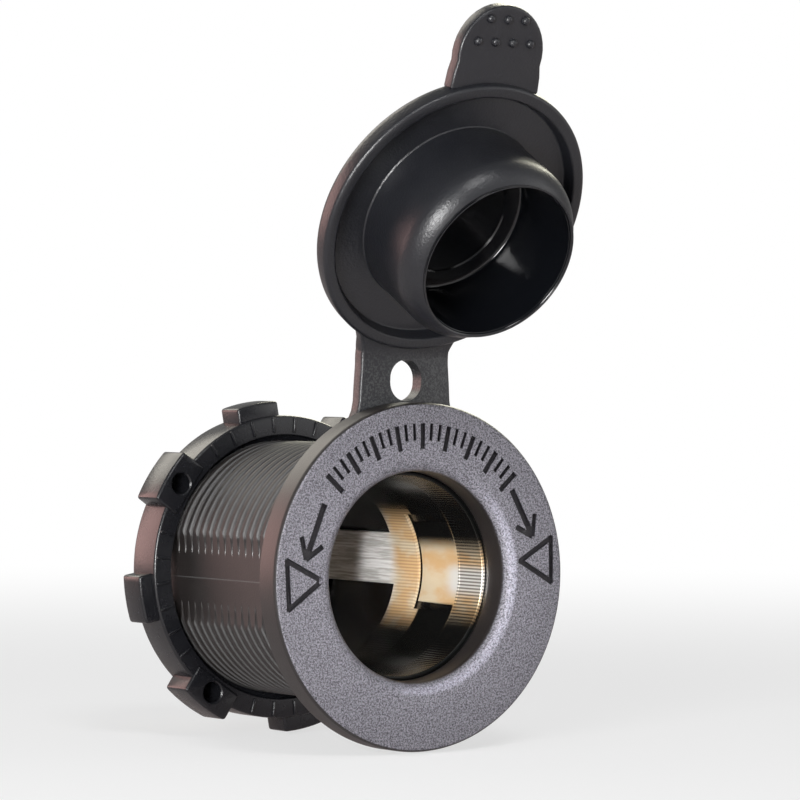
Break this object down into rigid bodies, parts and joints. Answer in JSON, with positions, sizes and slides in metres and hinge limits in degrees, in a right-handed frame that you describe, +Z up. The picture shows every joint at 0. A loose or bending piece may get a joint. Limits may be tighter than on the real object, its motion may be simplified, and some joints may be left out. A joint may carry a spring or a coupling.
{
  "type": "panel mount 12 V power socket",
  "caption": "Round-flanged threaded 12 V power socket with a castellated ring nut and a plug-in cover cap on a folding strap.",
  "frame": {"origin": "on the socket's axis, in the rear face of the flange, which seats on the panel", "axes": "the opening faces -Y, +Z is up through the strap, +X is to the right as seen from the front"},
  "size_m": [0.037, 0.0642, 0.0783],
  "materials": {
    "black_moulding": "fine grained black moulded nylon",
    "nut_moulding": "smooth satin black moulded nylon",
    "cap_moulding": "satin black flexible moulding",
    "plated_sleeve": "nickel plated sheet steel with fine brushing",
    "plated_contact": "nickel plated, turned",
    "brass_blade": "stamped brass",
    "fibre": "red-brown vulcanised fibre"
  },
  "bodies": {
    "socket": {"housing": "black_moulding", "ground_sleeve": "plated_sleeve", "insulating_washer": "fibre", "centre_contact": "plated_contact", "positive_blade": "brass_blade", "negative_blade": "brass_blade", "ground_rivet": "plated_contact"},
    "nut": {"ring_nut": "nut_moulding"},
    "collar": {"strap_collar": "cap_moulding", "strap": "cap_moulding"},
    "cover": {"cap": "cap_moulding"}
  },
  "joints": [
    {"name": "nut_travel", "type": "slide", "parent": "socket", "child": "nut", "axis": [0, 1, 0], "range_m": [-0.0205, 0.0055]},
    {"name": "collar_turn", "type": "hinge", "parent": "socket", "child": "collar", "pos_m": [0, 0.0009, 0], "axis": [0, 1, 0], "continuous": true},
    {"name": "cap_fold", "type": "hinge", "parent": "collar", "child": "cover", "pos_m": [0, -0.0012, 0.0195], "axis": [1, 0, 0], "range_deg": [-30, 150], "deforming": ["strap"]}
  ]
}
